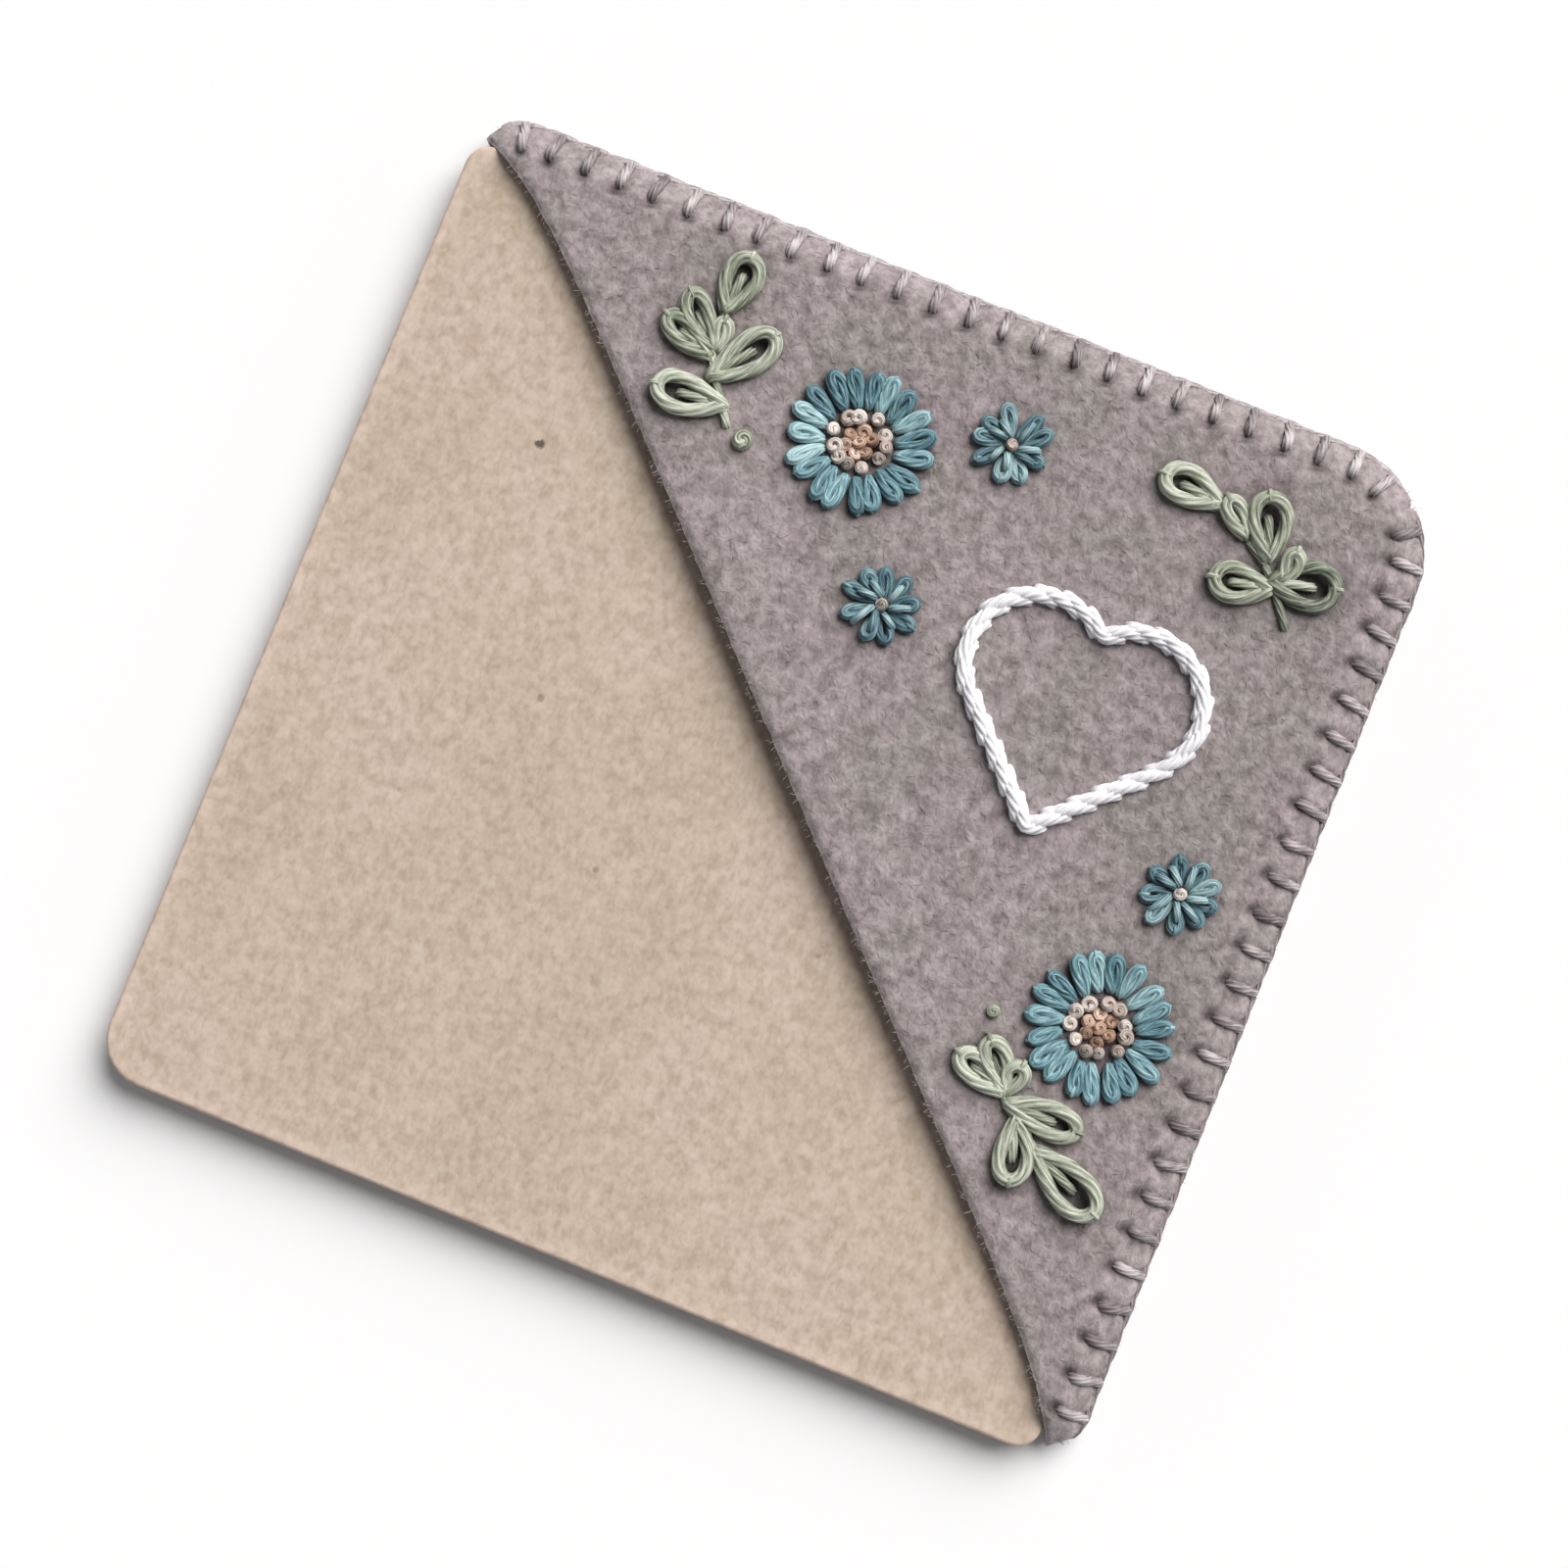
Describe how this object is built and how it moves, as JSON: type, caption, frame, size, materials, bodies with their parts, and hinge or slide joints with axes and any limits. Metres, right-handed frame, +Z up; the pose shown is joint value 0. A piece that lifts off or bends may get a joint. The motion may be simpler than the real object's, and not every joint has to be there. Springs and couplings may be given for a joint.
{
  "type": "needle case",
  "caption": "Triangular embroidered felt corner pocket, blanket-stitched along two legs, with a square kraft card that slides out of its open side along the diagonal.",
  "frame": {"origin": "middle of the overall 85 mm square, on the surface that the back felt lies on", "axes": "+X and +Y along the card's sides towards the pocket's stitched corner, +Z up out of the embroidered face"},
  "size_m": [0.085, 0.085, 0.0065],
  "materials": {
    "felt": "taupe craft felt, matt, slightly mottled",
    "stitch_thread": "taupe stranded cotton, soft sheen",
    "kraft_board": "uncoated kraft board, matt, fine flecks",
    "teal_thread": "teal stranded cotton, soft sheen",
    "blush_thread": "blush and peach stranded cotton, soft sheen",
    "sage_thread": "sage stranded cotton, soft sheen",
    "white_thread": "white stranded cotton, soft sheen"
  },
  "bodies": {
    "pocket": {"back_felt": "felt", "front_felt": "felt", "blanket_stitch_top_leg": "stitch_thread", "blanket_stitch_side_leg": "stitch_thread", "large_flower_1_petals": "teal_thread", "large_flower_1_knots": "blush_thread", "large_flower_2_petals": "teal_thread", "large_flower_2_knots": "blush_thread", "small_flower_1_petals": "teal_thread", "small_flower_1_knot": "blush_thread", "small_flower_2_petals": "teal_thread", "small_flower_2_knot": "blush_thread", "small_flower_3_petals": "teal_thread", "small_flower_3_knot": "blush_thread", "leaf_sprig_1": "sage_thread", "leaf_sprig_2": "sage_thread", "leaf_sprig_3": "sage_thread", "bud_knot_1": "sage_thread", "bud_knot_2": "sage_thread", "heart_outline": "white_thread"},
    "card": {"kraft_card": "kraft_board"}
  },
  "joints": [
    {"name": "card_slide", "type": "slide", "parent": "pocket", "child": "card", "axis": [-0.7071, -0.7071, 0], "range_m": [0, 0.05]}
  ]
}
